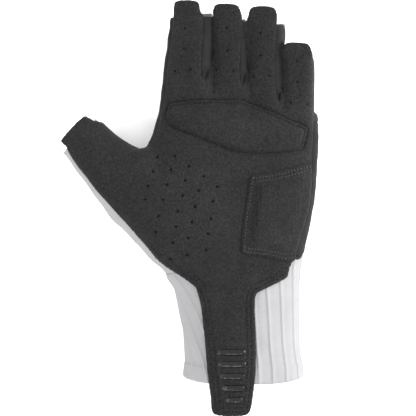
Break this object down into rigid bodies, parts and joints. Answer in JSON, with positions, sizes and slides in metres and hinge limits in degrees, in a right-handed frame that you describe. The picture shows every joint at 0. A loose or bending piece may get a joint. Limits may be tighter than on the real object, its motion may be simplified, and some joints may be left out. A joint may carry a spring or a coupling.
{
  "type": "cycling glove",
  "caption": "Half-finger left-hand cycling mitt: black suede palm with raised pads, finger pull tabs and a wrist tongue with grip bars, white stretch back, ribbed cuff.",
  "frame": {"origin": "on the floor face, under the middle of the wrist", "axes": "+Y from the wrist to the fingertips, +X to the little finger's side, +Z out of the palm, up from the floor"},
  "size_m": [0.1478, 0.2395, 0.0372],
  "materials": {
    "suede": "matt black synthetic suede with a fine grain",
    "side_fabric": "matt black stretch fabric",
    "white_fabric": "matt white stretch fabric, ribbed at the cuff",
    "silicone": "glossy black silicone"
  },
  "bodies": {
    "root": {"palm_panel": "suede", "back_panel": "white_fabric", "cuff": "white_fabric", "fourchette_index_middle": "side_fabric", "fourchette_middle_ring": "side_fabric", "fourchette_ring_little": "side_fabric", "index_side_panel": "side_fabric", "ulnar_side_panel": "side_fabric", "palm_pad": "suede", "heel_pad": "suede", "grip_bar_1": "silicone", "grip_bar_2": "silicone", "grip_bar_3": "silicone", "grip_bar_4": "silicone", "grip_bar_5": "silicone"}
  },
  "joints": []
}
